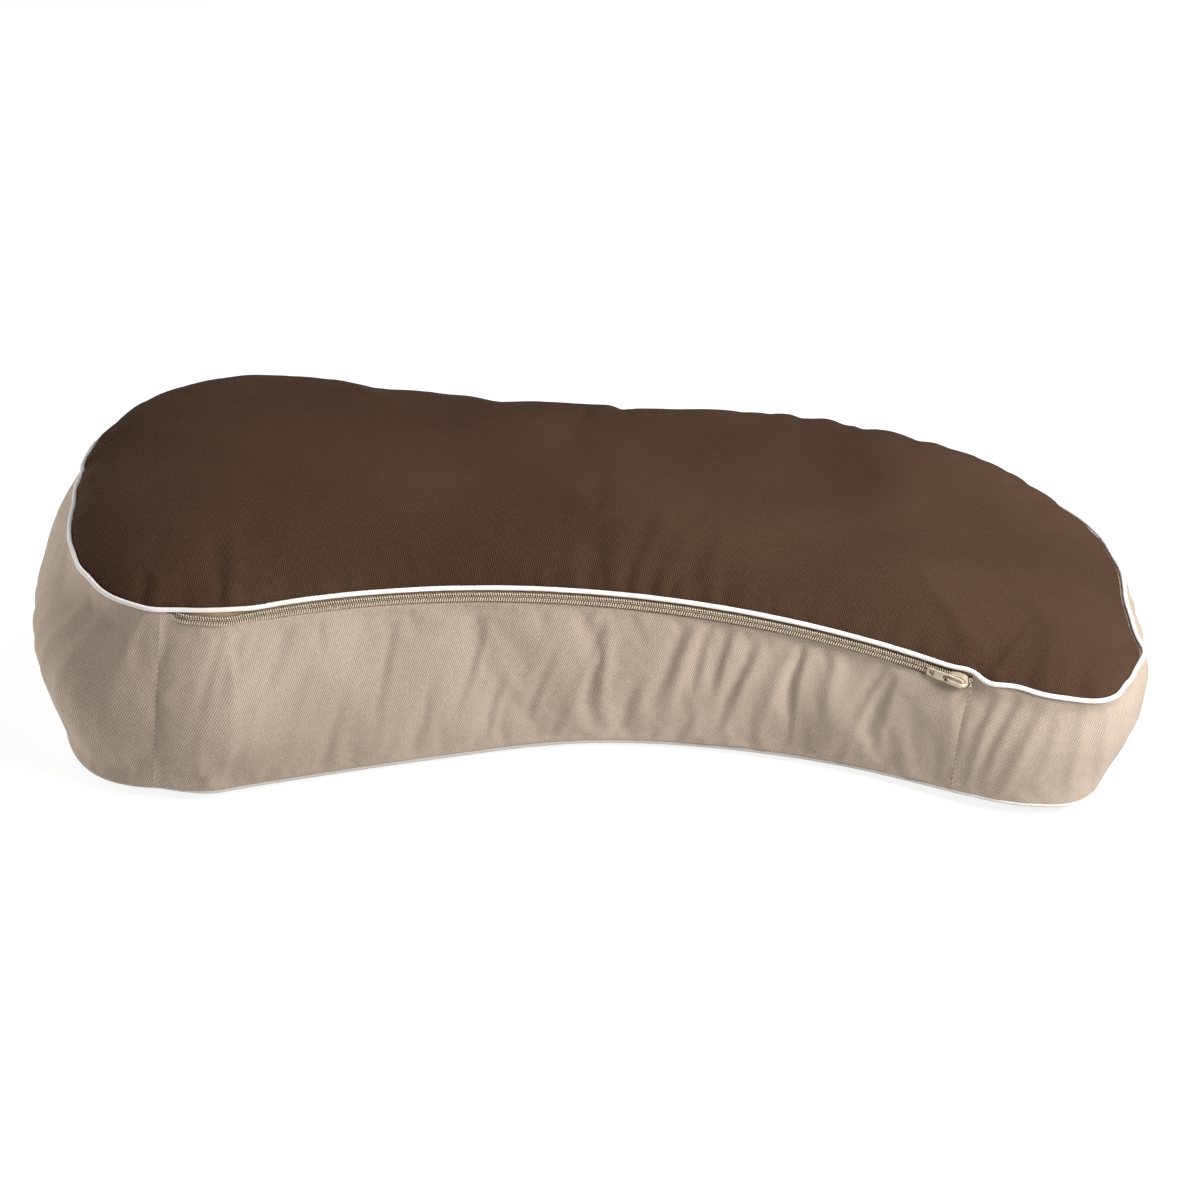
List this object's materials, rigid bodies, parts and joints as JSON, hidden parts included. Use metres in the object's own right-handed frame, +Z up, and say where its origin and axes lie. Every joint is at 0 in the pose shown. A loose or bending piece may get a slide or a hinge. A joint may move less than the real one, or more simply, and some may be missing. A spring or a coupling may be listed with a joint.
{
  "type": "lumbar support cushion",
  "caption": "Long kidney-shaped support cushion, thicker at its left end, with a piped zip-off cover in dark brown and khaki over a filled inner case.",
  "frame": {"origin": "centre of the cushion's bounding box, on the surface it rests on", "axes": "+X along the cushion towards its thin right end, +Y from the hollowed zip side to the back, +Z up"},
  "size_m": [0.6037, 0.2743, 0.1526],
  "materials": {
    "cover_top": "dark brown cotton twill",
    "cover_side": "khaki cotton twill",
    "piping": "off-white bias strip",
    "piping_cord": "twisted cotton cord",
    "zip_tape": "khaki woven tape",
    "zip_coil": "khaki nylon coil",
    "zip_metal": "khaki enamel on die-cast metal",
    "inner_case": "unbleached cotton",
    "filling": "polyester fibre",
    "label": "white woven label, blank"
  },
  "bodies": {
    "cushion": {"filling_core": "filling", "inner_case_top": "inner_case", "inner_case_bottom": "inner_case", "inner_case_gusset": "inner_case", "top_panel": "cover_top", "bottom_panel": "cover_top", "gusset_back": "cover_side", "gusset_front": "cover_side", "top_piping_cover": "piping", "top_piping_cord": "piping_cord", "bottom_piping_cover": "piping", "bottom_piping_cord": "piping_cord", "zip_tape_upper": "zip_tape", "zip_tape_lower": "zip_tape", "zip_coil_upper": "zip_coil", "zip_coil_lower": "zip_coil", "zip_top_stops": "zip_metal", "zip_bottom_stop": "zip_metal", "care_label": "label"},
    "slider": {"zip_slider_body": "zip_metal"},
    "pull": {"zip_pull": "zip_metal"}
  },
  "joints": [
    {"name": "zip_travel", "type": "hinge", "parent": "cushion", "child": "slider", "pos_m": [0.02132, -0.4895, 0.09504], "axis": [0.0993, 0, 0.9951], "range_deg": [0, 53.1]},
    {"name": "pull_swing", "type": "hinge", "parent": "slider", "child": "pull", "pos_m": [0.19904, -0.11816, 0.0773], "axis": [0.0993, 0, 0.9951], "range_deg": [0, 165]}
  ]
}
